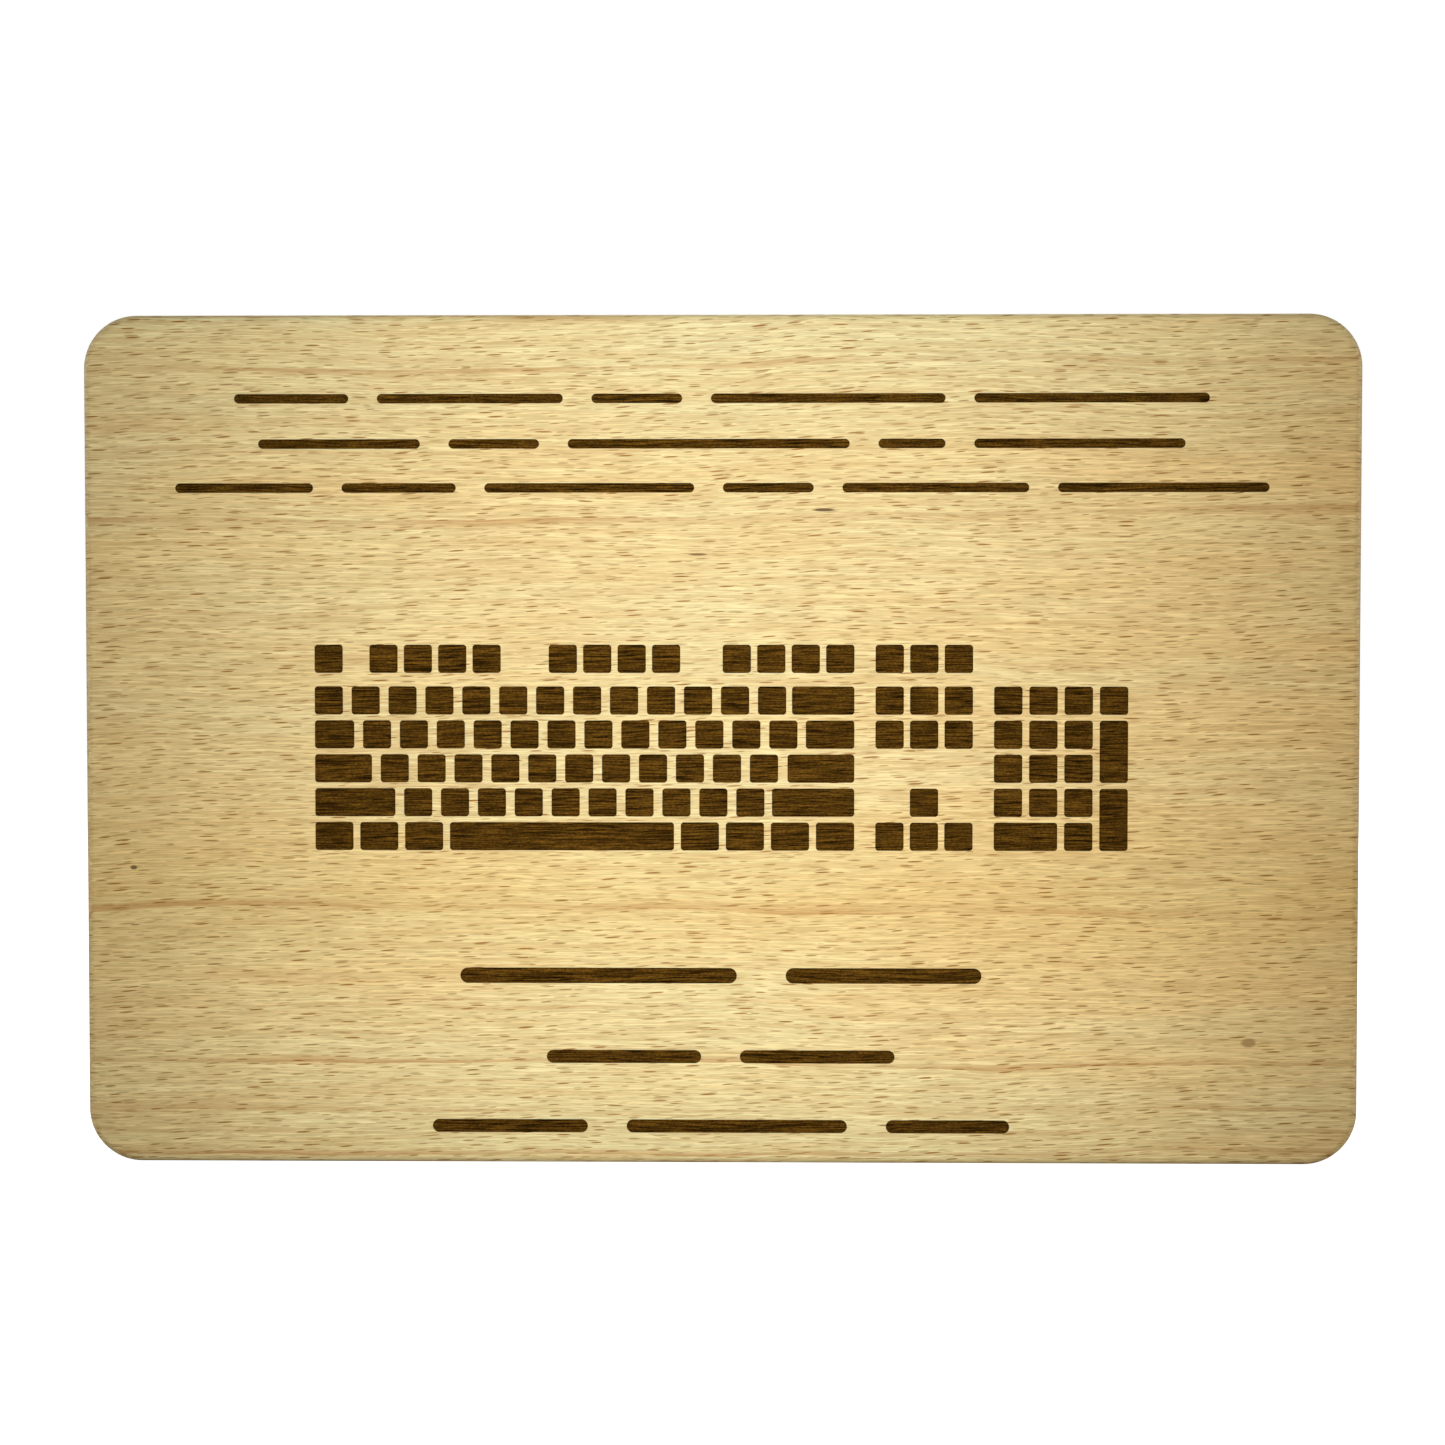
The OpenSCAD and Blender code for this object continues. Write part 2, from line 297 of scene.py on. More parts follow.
def growth_rings(tree, grown):
    """Thin dark lines where each year's wood ends. Most are faint and a few stand out."""
    out = add(tree, "ShaderNodeVectorMath", {0: grown, 1: HEART}, operation="ADD")
    out = add(tree, "ShaderNodeVectorMath", {0: out, 1: (0, 1, 1)}, operation="MULTIPLY")
    out = add(tree, "ShaderNodeVectorMath", {0: out}, "Value", operation="LENGTH")
    ring = add(tree, "ShaderNodeMath", {0: out, 1: RING_WIDTH}, operation="DIVIDE")
    year = add(tree, "ShaderNodeMath", {0: ring}, operation="FLOOR")
    within = add(tree, "ShaderNodeMath", {0: ring}, operation="FRACT")
    rise = add(
        tree,
        "ShaderNodeMapRange",
        {0: within, 1: LATE_WOOD, 2: LATE_WOOD_END},
        interpolation_type="SMOOTHSTEP",
    )
    drop = add(
        tree,
        "ShaderNodeMapRange",
        {0: within, 1: 1.0, 2: LATE_WOOD_END},
        interpolation_type="SMOOTHSTEP",
    )
    line = add(tree, "ShaderNodeMath", {0: rise, 1: drop}, operation="MULTIPLY")
    chance = add(tree, "ShaderNodeTexWhiteNoise", {"W": year}, noise_dimensions="1D")
    weight = add(tree, "ShaderNodeMath", {0: chance, 1: FAINTNESS}, operation="POWER")
    patchy = streaks(tree, grown, RING_PATCH, (-450, -245, -115))
    patchy = add(tree, "ShaderNodeMapRange", {0: patchy, 1: 0.35, 2: 0.6, 3: FADED})
    weight = add(tree, "ShaderNodeMath", {0: weight, 1: patchy}, operation="MULTIPLY")
    return add(tree, "ShaderNodeMath", {0: line, 1: weight}, operation="MULTIPLY")


print("ring width in mm:", RING_WIDTH)

# %% [markdown]
# ### Rays
#
# Rays are sheets of cells that stand on edge and run out from the heart. Cut end on, as on this
# face, each is a short brown fleck along the grain. A Voronoi pattern puts one point in each long,
# low cell, and the distance from the point makes a lens. The pattern is a flat one across the
# face, so the flecks run straight through the board, as the sheets do. Three sets of them give the
# mix of long, middling and fine flecks.

# %% Rays
RAY_HALF = 0.21  # a fleck's half length and half width, as shares of the sizes of its cell
RAY_CORE = 0.55  # the share of that with the full colour
RAY_LEAST, RAY_MOST = 0.55, 1.15  # flecks are this much smaller or larger than that
RAY_FAINTEST = 0.3
RAY_SETS = (  # a cell's sizes in mm, its slant in degrees, a shift in mm, and the set's strength
    ((10.4, 0.96), -2.4, (11, 0, 5), 1.0),
    ((8.6, 0.82), -1.2, (37, 0, 23), 0.55),
    ((6.0, 0.6), -3.2, (71, 0, 49), 0.2),
)


def rays(tree, grown, sizes, slant, shift, strength):
    """Lens-shaped flecks, one in each cell. They run through the board, as a ray's sheet does."""
    cell = add(
        tree,
        "ShaderNodeMapping",
        {
            "Vector": grown,
            "Location": shift,
            "Rotation": (math.pi / 2, math.radians(slant), 0),
            "Scale": (*sizes, 1),
        },
        vector_type="TEXTURE",
    )
    away = add(
        tree,
        "ShaderNodeTexVoronoi",
        {"Vector": cell, "Scale": 1.0},
        "Distance",
        voronoi_dimensions="2D",
    )
    pick = add(tree, "ShaderNodeSeparateXYZ", {0: away.node.outputs["Color"]}).node.outputs
    size = add(tree, "ShaderNodeMapRange", {0: pick[0], 3: RAY_LEAST, 4: RAY_MOST})
    reach = add(tree, "ShaderNodeMath", {0: away, 1: size}, operation="DIVIDE")
    fleck = add(
        tree,
        "ShaderNodeMapRange",
        {0: reach, 1: RAY_HALF, 2: RAY_HALF * RAY_CORE, 4: strength},
        interpolation_type="SMOOTHSTEP",
    )
    weight = add(tree, "ShaderNodeMapRange", {0: pick[1], 3: RAY_FAINTEST})
    return add(tree, "ShaderNodeMath", {0: fleck, 1: weight}, operation="MULTIPLY")


largest = [round(2 * RAY_HALF * RAY_MOST * size, 2) for size in RAY_SETS[0][0]]
print("the largest fleck is, in mm:", largest)

# %% [markdown]
# ### Put the figure together
#
# The group gives its patterns as separate outputs, so that each finish can colour them in its own
# way. A real fibre is a fiftieth of a millimetre wide. The streaks stand for bundles of fibres a
# quarter of a millimetre wide, which is as fine as shows at arm's length. Wider bands of fibres and
# large soft patches vary the wood's colour.

# %% Put the figure together
FIBRE = (8, 0.5, 0.23)  # mm along, through and across the grain
BAND = (34, 3, 0.95)
TINT = (110, 40, 15)


def figure_of_beech():
    """The node group of the wood's figure: a place in metres in, patterns from 0 to 1 out."""
    tree = bpy.data.node_groups.new("figure of beech", "ShaderNodeTree")
    tree.interface.new_socket("Place", in_out="INPUT", socket_type="NodeSocketVector")
    for name in ("Tint", "Ring", "Ray", "Fibre", "Band"):
        tree.interface.new_socket(name, in_out="OUTPUT", socket_type="NodeSocketFloat")
    grown = grain(tree, add(tree, "NodeGroupInput"))
    ray = 0.0
    for setting in RAY_SETS:
        more = rays(tree, grown, *setting)
        ray = add(tree, "ShaderNodeMath", {0: ray, 1: more}, operation="MAXIMUM")
    tint = streaks(tree, grown, TINT, (-308, -176, -84))
    tint = add(
        tree, "ShaderNodeMapRange", {0: tint, 1: 0.36, 2: 0.64}, interpolation_type="SMOOTHSTEP"
    )
    add(
        tree,
        "NodeGroupOutput",
        {
            "Tint": tint,
            "Ring": growth_rings(tree, grown),
            "Ray": ray,
            "Fibre": streaks(tree, grown, FIBRE, (-25, -1, -1), 2.0),
            "Band": streaks(tree, grown, BAND, (-170, -20, -8), 2.0),
        },
    )
    return tree


wood_figure = figure_of_beech()
print("figure nodes:", len(wood_figure.nodes))

# %% [markdown]
# ## Beech, sanded and lightly oiled
#
# European beech planed flat, sanded fine along the grain and wiped with a thin oil. That gives the
# eye a pale straw wood, greenish in some patches and pink in others, with a satin surface that is
# neither glossy nor chalky.
#
# ### Where the wood is warmer, and where shade is painted in
#
# Towards its ends the wood is painted warmer and a little darker, and the right end gets more of
# this than the left. This is painted shade that follows the front lamp's fall-off, laid over large
# soft patches of the wood's own tone. The wood is also greener along its long edges, with a
# yellower band below the middle. Each of these is a share from 0 to 1 worked out from the place in
# the board, so that it can be mixed like paint.

# %% Warm wood with painted shade, and yellow wood
HALF_LENGTH, HALF_HEIGHT = 150.0, 100.0  # mm
# Painted shade: the warm share rises from the middle to the ends, as the front lamp's light falls
# off.
WARM_MIDDLE, SHADED_WARM_ENDS = 0.28, 0.62  # the share of warm wood at the board's middle and its ends
WARM_LEAN = 0.13  # the right end has more of it than that, and the left end less
GREEN_EDGE, GREEN_REACH = 0.3, 38.0  # and the long edges have less, over so many mm
WARM_TINT = 0.22  # the large soft patches add up to this
YELLOW_BAND, YELLOW_REACH = -102.0, 24.0  # mm, the height of the yellower band, and its reach
YELLOW_SHARE = 0.4


def warm_and_shade_share(tree, x, z, tint):
    """How much warm wood there is at x mm across and z mm up; towards the ends this is painted
    shade.
    """
    aside = add(tree, "ShaderNodeMath", {0: x}, operation="ABSOLUTE")
    warm = add(
        tree, "ShaderNodeMapRange", {0: aside, 2: HALF_LENGTH, 3: WARM_MIDDLE, 4: SHADED_WARM_ENDS}
    )
    lean = WARM_LEAN / HALF_LENGTH
    warm = add(tree, "ShaderNodeMath", {0: x, 1: lean, 2: warm}, operation="MULTIPLY_ADD")
    rise = add(tree, "ShaderNodeMath", {0: z, 1: plank_middle.z / MM}, operation="SUBTRACT")
    rise = add(tree, "ShaderNodeMath", {0: rise}, operation="ABSOLUTE")
    green = add(
        tree,
        "ShaderNodeMapRange",
        {0: rise, 1: HALF_HEIGHT - GREEN_REACH, 2: HALF_HEIGHT, 4: GREEN_EDGE},
    )
    warm = add(tree, "ShaderNodeMath", {0: warm, 1: green}, operation="SUBTRACT")
    return add(
        tree,
        "ShaderNodeMath",
        {0: tint, 1: WARM_TINT, 2: warm},
        operation="MULTIPLY_ADD",
        use_clamp=True,
    )


def yellow_share(tree, z):
    """How much yellower wood there is at z mm up."""
    above = add(tree, "ShaderNodeMath", {0: z, 1: YELLOW_BAND}, operation="SUBTRACT")
    above = add(tree, "ShaderNodeMath", {0: above}, operation="ABSOLUTE")
    return add(tree, "ShaderNodeMapRange", {0: above, 1: YELLOW_REACH, 2: 0.0, 4: YELLOW_SHARE})


print("warm wood, from the middle to the ends:", WARM_MIDDLE, SHADED_WARM_ENDS)

# %% [markdown]
# ### Small marks and end grain
#
# Real wood has blemishes, and a few of them do more for the eye than any amount of noise. Two pin
# knots sit near the board's ends, and two dark streaks of bark near its middle. Each is a flat
# ellipsoid inside the wood. The ends of the board drink more oil than its face, so the surface is
# darker where it faces along the board.

# %% Small marks and end grain
FRONT = plank_low.y / MM
MARK_DEPTH = 6.0  # mm
MARK_RIM = 0.6  # where in a mark its full colour begins
MARK_SHARE = 0.9
WOOD_MARKS = (  # middle across and up, half length and half height in mm, colour
    ((-138.7, -95.0), (1.0, 0.6), "#6a4e25"),
    ((124.2, -136.0), (2.1, 1.3), "#a98750"),
    ((24.2, -10.8), (3.1, 0.47), "#573208"),
    ((-5.3, -21.2), (2.6, 0.33), "#75501f"),
)
END_GRAIN_FROM = 0.35  # the square of how much a surface faces along the board
END_GRAIN_SHARE = 0.45


def wood_marks(tree, mm):
    """The share and colour of each small mark in the front of the board."""
    for (x, z), (half_long, half_high), colour in WOOD_MARKS:
        away = add(
            tree,
            "ShaderNodeMapping",
            {"Vector": mm, "Location": (x, FRONT, z), "Scale": (half_long, MARK_DEPTH, half_high)},
            vector_type="TEXTURE",
        )
        away = add(tree, "ShaderNodeVectorMath", {0: away}, "Value", operation="LENGTH")
        share = add(tree, "ShaderNodeMapRange", {0: away, 1: 1.0, 2: MARK_RIM, 4: MARK_SHARE})
        yield share, colour


def end_grain(tree):
    """How much the surface faces along the board, where the cut fibres are darker."""
    facing = add(tree, "ShaderNodeTexCoord", output="Normal")
    facing = add(tree, "ShaderNodeSeparateXYZ", {0: facing})
    facing = add(tree, "ShaderNodeMath", {0: facing, 1: facing}, operation="MULTIPLY")
    return add(
        tree, "ShaderNodeMapRange", {0: facing, 1: END_GRAIN_FROM, 2: 1.0, 4: END_GRAIN_SHARE}
    )


print("small marks:", len(WOOD_MARKS))

# %% [markdown]
# ### Lay the colours over each other
#
# The colour is built up in coats, as a painter of wood grain does it: the pale wood first, then its
# warm parts, which carry painted shade towards the ends, and its yellow parts, the bands and
# fibres, the ring lines, and last the flecks and marks. The fibres stand a hundredth of a
# millimetre proud, and the flecks lie a little lower, so one relief is made of both. The burnt wood
# uses it too.

# %% Beech
PALE_BEECH, WARM_SHADED_BEECH, YELLOW_BEECH = "#e6dda7", "#f2d08c", "#e3c070"
PINK_BAND, DARK_FIBRE = "#c28a40", "#a2741a"
RING_BROWN, RAY_BROWN, OILED_END = "#b0742f", "#955f00", "#a37c48"
PINK_FROM, PINK_FULL = 0.6, 0.34  # where in the bands' noise the pink begins and is full
DARK_FROM, DARK_FULL = 0.6, 0.3  # the same for the dark fibres in the fibres' noise
LIGHT_FROM, LIGHT_FULL = 0.5, 0.72  # and for the light fibres
PINK_SHARE, DARK_SHARE, RING_SHARE = 0.27, 0.36, 0.85
LIGHT_FIBRE = 1.15  # the palest fibres are this much lighter
RAY_SUNK = -0.8  # how far a fleck lies below the fibres, as a share of their height
BEECH_ROUGHNESS = (0.6, 0.5)  # of soft and of hard fibres
BEECH_RELIEF = (0.02 * MM, 0.35)  # height and strength
BEECH_IOR = 1.47
BEECH_GLOSS = 0.35


def principled(name):
    """A material with one Principled shader, its tree, the shader and the place in metres."""
    material = bpy.data.materials.new(name)
    material.use_nodes = True
    tree = material.node_tree
    tree.nodes.clear()
    shader = tree.nodes.new("ShaderNodeBsdfPrincipled")
    add(tree, "ShaderNodeOutputMaterial", {"Surface": shader.outputs[0]})
    place = add(tree, "ShaderNodeTexCoord", output="Object")
    return material, tree, shader, place


def lay(tree, colour, *coats):
    """Lays each coat (a share from 0 to 1 and a hex colour) over a colour."""
    for share, coat in coats:
        colour = add(
            tree, "ShaderNodeMix", {0: share, 6: colour, 7: linear(coat)}, 2, data_type="RGBA"
        )
    return colour


def surface_of_wood(tree, shader, figure, roughness, relief_size):
    """Roughness between that of soft and of hard fibres, and a relief of fibres and flecks."""
    soft, hard = roughness
    height, strength = relief_size
    rough = add(
        tree,
        "ShaderNodeMapRange",
        {0: figure["Fibre"], 1: NOISE_LOW, 2: NOISE_HIGH, 3: soft, 4: hard},
    )
    tree.links.new(rough, shader.inputs["Roughness"])
    relief = add(
        tree,
        "ShaderNodeMath",
        {0: figure["Ray"], 1: RAY_SUNK, 2: figure["Fibre"]},
        operation="MULTIPLY_ADD",
    )
    bump = add(
        tree, "ShaderNodeBump", {"Height": relief, "Distance": height, "Strength": strength}
    )
    tree.links.new(bump, shader.inputs["Normal"])


def beech():
    """Beech as it looks under a thin coat of oil."""
    material, tree, shader, place = principled("beech_sanded_and_oiled")
    figure = add(tree, "ShaderNodeGroup", {0: place}, node_tree=wood_figure).node.outputs
    mm = add(tree, "ShaderNodeVectorMath", {0: place, "Scale": 1 / MM}, operation="SCALE")
    x, _, z = add(tree, "ShaderNodeSeparateXYZ", {0: mm}).node.outputs
    pink = add(
        tree,
        "ShaderNodeMapRange",
        {0: figure["Band"], 1: PINK_FROM, 2: PINK_FULL, 4: PINK_SHARE},
    )
    dark = add(
        tree,
        "ShaderNodeMapRange",
        {0: figure["Fibre"], 1: DARK_FROM, 2: DARK_FULL, 4: DARK_SHARE},
    )
    line = add(tree, "ShaderNodeMath", {0: figure["Ring"], 1: RING_SHARE}, operation="MULTIPLY")
    colour = lay(
        tree,
        linear(PALE_BEECH),
        # The warm coat is painted shade towards the ends, where the front lamp's light falls off.
        (warm_and_shade_share(tree, x, z, figure["Tint"]), WARM_SHADED_BEECH),
        (yellow_share(tree, z), YELLOW_BEECH),
        (pink, PINK_BAND),
        (dark, DARK_FIBRE),
        (line, RING_BROWN),
    )
    light = add(
        tree,
        "ShaderNodeMapRange",
        {0: figure["Fibre"], 1: LIGHT_FROM, 2: LIGHT_FULL, 3: 1.0, 4: LIGHT_FIBRE},
    )
    colour = add(tree, "ShaderNodeVectorMath", {0: colour, "Scale": light}, operation="SCALE")
    colour = lay(
        tree,
        colour,
        (figure["Ray"], RAY_BROWN),
        *wood_marks(tree, mm),
        (end_grain(tree), OILED_END),
    )
    tree.links.new(colour, shader.inputs["Base Color"])
    surface_of_wood(tree, shader, figure, BEECH_ROUGHNESS, BEECH_RELIEF)
    shader.inputs["IOR"].default_value = BEECH_IOR
    shader.inputs["Specular IOR Level"].default_value = BEECH_GLOSS
    return material


beech_wood = beech()
print("made", beech_wood.name)

# %% [markdown]
# ## Laser-burnt beech
#
# A laser takes half a millimetre of wood away and chars what is left. The char is thin, so the
# figure shows through it: the rays turn nearly black and the fibres between them stay a warm dark
# brown, broken up by crumbs of char. It has no oil on it, so it is matt, and the laser digs the
# soft fibres deeper than the hard ones, which leaves fine ridges along the grain.

# %% Burnt beech
CHAR_CRUMB = (0.6, 0.5, 0.32)  # mm, the crumbs of char
CHAR, BROWN_FIBRE, BROWN_BAND, BLACK_RAY = "#241400", "#704d15", "#3c2704", "#150a00"
BROWN_FROM, BROWN_FULL = 0.36, 0.66  # where in the fibres' noise the brown begins and is full
BAND_FROM, BAND_FULL = 0.35, 0.65  # the same in the bands' noise
BAND_SHARE, BLACK_SHARE = 0.35, 0.9
CRUMB_DARK, CRUMB_LIGHT = 0.6, 1.35  # how much darker or lighter a crumb is
CHAR_ROUGHNESS = (0.95, 0.8)
CHAR_RELIEF = (0.1 * MM, 0.8)
CHAR_GLOSS = 0.04


def burnt_beech():
    """Beech as the laser leaves it."""
    material, tree, shader, place = principled("beech_charred_by_laser")
    figure = add(tree, "ShaderNodeGroup", {0: place}, node_tree=wood_figure).node.outputs
    streak = add(
        tree, "ShaderNodeMapRange", {0: figure["Fibre"], 1: BROWN_FROM, 2: BROWN_FULL}
    )
    band = add(
        tree,
        "ShaderNodeMapRange",
        {0: figure["Band"], 1: BAND_FROM, 2: BAND_FULL, 4: BAND_SHARE},
    )
    fleck = add(tree, "ShaderNodeMath", {0: figure["Ray"], 1: BLACK_SHARE}, operation="MULTIPLY")
    colour = lay(
        tree, linear(CHAR), (streak, BROWN_FIBRE), (band, BROWN_BAND), (fleck, BLACK_RAY)
    )
    mm = add(tree, "ShaderNodeVectorMath", {0: place, "Scale": 1 / MM}, operation="SCALE")
    crumb = streaks(tree, mm, CHAR_CRUMB, (5, 5, 5))
    light = add(
        tree,
        "ShaderNodeMapRange",
        {0: crumb, 1: NOISE_LOW, 2: NOISE_HIGH, 3: CRUMB_DARK, 4: CRUMB_LIGHT},
    )
    colour = add(tree, "ShaderNodeVectorMath", {0: colour, "Scale": light}, operation="SCALE")
    tree.links.new(colour, shader.inputs["Base Color"])
    surface_of_wood(tree, shader, figure, CHAR_ROUGHNESS, CHAR_RELIEF)
    shader.inputs["Specular IOR Level"].default_value = CHAR_GLOSS
    return material


charred_wood = burnt_beech()
print("made", charred_wood.name)

# %% [markdown]
# ## Bright zinc plate
#
# The hanger is stamped from sheet steel and barrel plated with zinc. The plating is thin and bright
# but a little cloudy, and tumbling in the barrel leaves fine scuffs, so the roughness changes from
# place to place. The screws come from another batch, with a slightly yellow passivated finish.

# %% Zinc-plated steel
CLOUD = (3.5, 3.5, 5.0)  # mm, the cloudy patches in the plating
SCUFF_DRAWN_OUT = 6  # how much longer than wide a scuff is
SMOOTHEST, ROUGHEST = 0.28, 0.46
SCUFF_RELIEF = 0.01 * MM
SCUFF_STRENGTH = 0.6


def zinc_plate(name, pale, dull, scuff_mm):
    """Plated steel that goes from a pale to a dull colour, with scuffs this wide in mm."""
    material, tree, shader, place = principled(name)
    mm = add(tree, "ShaderNodeVectorMath", {0: place, "Scale": 1 / MM}, operation="SCALE")
    cloud = streaks(tree, mm, CLOUD, (3, 3, 3), 3.0)
    cloud = add(tree, "ShaderNodeMapRange", {0: cloud, 1: NOISE_LOW, 2: NOISE_HIGH})
    colour = lay(tree, linear(pale), (cloud, dull))
    tree.links.new(colour, shader.inputs["Base Color"])
    scuff = streaks(
        tree, mm, (scuff_mm, scuff_mm, scuff_mm * SCUFF_DRAWN_OUT), (1, 1, 1), 2.0
    )
    rough = add(
        tree,
        "ShaderNodeMapRange",
        {0: scuff, 1: NOISE_LOW, 2: NOISE_HIGH, 3: SMOOTHEST, 4: ROUGHEST},
    )
    tree.links.new(rough, shader.inputs["Roughness"])
    bump = add(
        tree,
        "ShaderNodeBump",
        {"Height": scuff, "Distance": SCUFF_RELIEF, "Strength": SCUFF_STRENGTH},
    )
    tree.links.new(bump, shader.inputs["Normal"])
    shader.inputs["Metallic"].default_value = 1.0
    return material


plate_steel = zinc_plate("steel_bright_zinc_plated", "#c6cacd", "#a4a8ac", 0.3)
screw_steel = zinc_plate("steel_yellow_zinc_plated", "#cfc7a6", "#ab9f79", 0.2)
print("made", plate_steel.name, "and", screw_steel.name)

# %% [markdown]
# ## Read the marks from the frame
#
# The CAD model already knows where each key and each bar of the engraving lies. A laser would read
# them from a drawing, and here they are read from the CAD nodes: the loose parts of each node are
# found, and each gives its middle, its half width, its half height and the radius of its corners.
# They are sorted, so that every run makes its points in the same order.

# %% Measure the marks
TINY = 1e-6
BURNT_NODES = sorted(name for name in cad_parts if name.startswith("burnt_"))


def loose_parts(mesh):
    """The vertex places of each loose part of a mesh."""
    shape = bmesh.new()
    shape.from_mesh(mesh)
    bmesh.ops.remove_doubles(shape, verts=shape.verts, dist=TINY)
    left = set(shape.verts)
    parts = []
    while left:
        found = [left.pop()]
        part = []
        while found:
            vert = found.pop()
            part.append(vert.co.copy())
            near = {e.other_vert(vert) for e in vert.link_edges} & left
            left -= near
            found.extend(near)
        parts.append(part)
    shape.free()
    return parts


def measure(part):
    """(middle x, middle z, half width, half height, corner radius) of one mark."""
    xs, zs = [p.x for p in part], [p.z for p in part]
    half_w, half_h = (max(xs) - min(xs)) / 2, (max(zs) - min(zs)) / 2
    level = [p.x for p in part if p.z < min(zs) + TINY]
    radius = half_w - (max(level) - min(level)) / 2
    return min(xs) + half_w, min(zs) + half_h, half_w, half_h, min(radius, half_w, half_h)


marks = {
    name: sorted(measure(part) for part in loose_parts(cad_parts[name].data))
    for name in BURNT_NODES
}
layer_low, layer_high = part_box(BURNT_NODES[0])
pocket_floor = layer_high.y
layer_thickness = layer_high.y - layer_low.y
for name in BURNT_NODES:
    print(name, len(marks[name]), "marks, corners mm", round(marks[name][0][4] / MM, 2))
print("pockets mm deep:", round((pocket_floor - plank_low.y) / MM, 2))

# %% [markdown]
# ## One tree for every rounded mark
#
# Every mark is a rectangle with round corners, from a square key to a bar with full-round ends. The
# tree puts a circle on each point, scales it to the corner's radius, and pulls its four quarters
# apart until it fills the mark's width and height. Then it gives the shape a thickness towards the
# front. The same tree also makes the plate's slot, its recess and its screw holes, because those
# are rounded rectangles too.

# %% Rounded marks tree


def rounded_marks():
    tree = bpy.data.node_groups.new("rounded marks", "GeometryNodeTree")
    for name, kind in (
        ("Geometry", "NodeSocketGeometry"),
        ("Circle Steps", "NodeSocketInt"),
        ("Thickness", "NodeSocketFloat"),
        ("Finish", "NodeSocketMaterial"),
    ):
        tree.interface.new_socket(name, in_out="INPUT", socket_type=kind)
    tree.interface.new_socket("Geometry", in_out="OUTPUT", socket_type="NodeSocketGeometry")
    given = add(tree, "NodeGroupInput").node.outputs
    half_w, half_h, radius = (
        add(tree, "GeometryNodeInputNamedAttribute", {"Name": name}, data_type="FLOAT")
        for name in ("half_w", "half_h", "radius")
    )
    where = add(tree, "GeometryNodeInputPosition")
    points = add(
        tree,
        "GeometryNodeStoreNamedAttribute",
        {"Geometry": given["Geometry"], "Name": "middle", "Value": where},
        data_type="FLOAT_VECTOR",
    )
    circle = add(
        tree,
        "GeometryNodeMeshCircle",
        {"Vertices": given["Circle Steps"], "Radius": 1.0},
        fill_type="NGON",
    )
    # Half a step's turn leaves no vertex on an axis, so each one belongs to one quarter.
    half_step = add(
        tree, "ShaderNodeMath", {0: math.pi, 1: given["Circle Steps"]}, operation="DIVIDE"
    )
    turn = add(tree, "ShaderNodeCombineXYZ", {"X": math.pi / 2, "Y": half_step})
    upright = add(tree, "GeometryNodeTransform", {"Geometry": circle, "Rotation": turn})
    placed = add(
        tree,
        "GeometryNodeInstanceOnPoints",
        {"Points": points, "Instance": upright, "Scale": radius},
    )
    outline = add(tree, "GeometryNodeRealizeInstances", {"Geometry": placed})
    middle = add(
        tree, "GeometryNodeInputNamedAttribute", {"Name": "middle"}, data_type="FLOAT_VECTOR"
    )
    side = add(tree, "ShaderNodeVectorMath", {0: where, 1: middle}, operation="SUBTRACT")
    side = add(tree, "ShaderNodeVectorMath", {0: side}, operation="SIGN")
    pull_x = add(tree, "ShaderNodeMath", {0: half_w, 1: radius}, operation="SUBTRACT")
    pull_z = add(tree, "ShaderNodeMath", {0: half_h, 1: radius}, operation="SUBTRACT")
    pull = add(tree, "ShaderNodeCombineXYZ", {"X": pull_x, "Z": pull_z})
    pull = add(tree, "ShaderNodeVectorMath", {0: side, 1: pull}, operation="MULTIPLY")
    flat = add(tree, "GeometryNodeSetPosition", {"Geometry": outline, "Offset": pull})
    raised = add(
        tree,
        "GeometryNodeExtrudeMesh",
        {
            "Mesh": flat,
            "Offset": (0, -1, 0),
            "Offset Scale": given["Thickness"],
            "Individual": False,
        },
        mode="FACES",
    )
    # Extruding leaves the back open, so the flat outline closes it, turned to face the other way.
    back = add(tree, "GeometryNodeFlipFaces", {"Mesh": flat})
    closed = add(tree, "GeometryNodeJoinGeometry")
    tree.links.new(raised, closed.node.inputs[0])
    tree.links.new(back, closed.node.inputs[0])
    closed = add(tree, "GeometryNodeMergeByDistance", {"Geometry": closed, "Distance": TINY})
    solid = add(tree, "GeometryNodeRealizeInstances", {"Geometry": closed})
    solid = add(
        tree, "GeometryNodeSetMaterial", {"Geometry": solid, "Material": given["Finish"]}
    )
    add(tree, "NodeGroupOutput", {"Geometry": solid})
    return tree


marks_tree = rounded_marks()
print("tree inputs:", [s.name for s in marks_tree.interface.items_tree if s.in_out == "INPUT"])


# %% [markdown]
# ### Grow marks from points
#
# A point can carry numbers of its own. So a mesh of bare points is made, one at each mark's middle,
# with the mark's half sizes and corner radius as attributes, and one modifier grows all the solids
# of a piece at once. The result is kept as a plain mesh. A count of the edges that don't have two
# faces shows whether it is closed.

# %% Grow marks from points
MARK_NUMBERS = ("half_w", "half_h", "radius")


def plain_mesh(maker, name):
    """A plain mesh of what an object looks like with its modifiers."""
    bpy.context.view_layer.update()
    seen = maker.evaluated_get(bpy.context.evaluated_depsgraph_get())
    mesh = bpy.data.meshes.new_from_object(seen)
    mesh.name = name
    return mesh


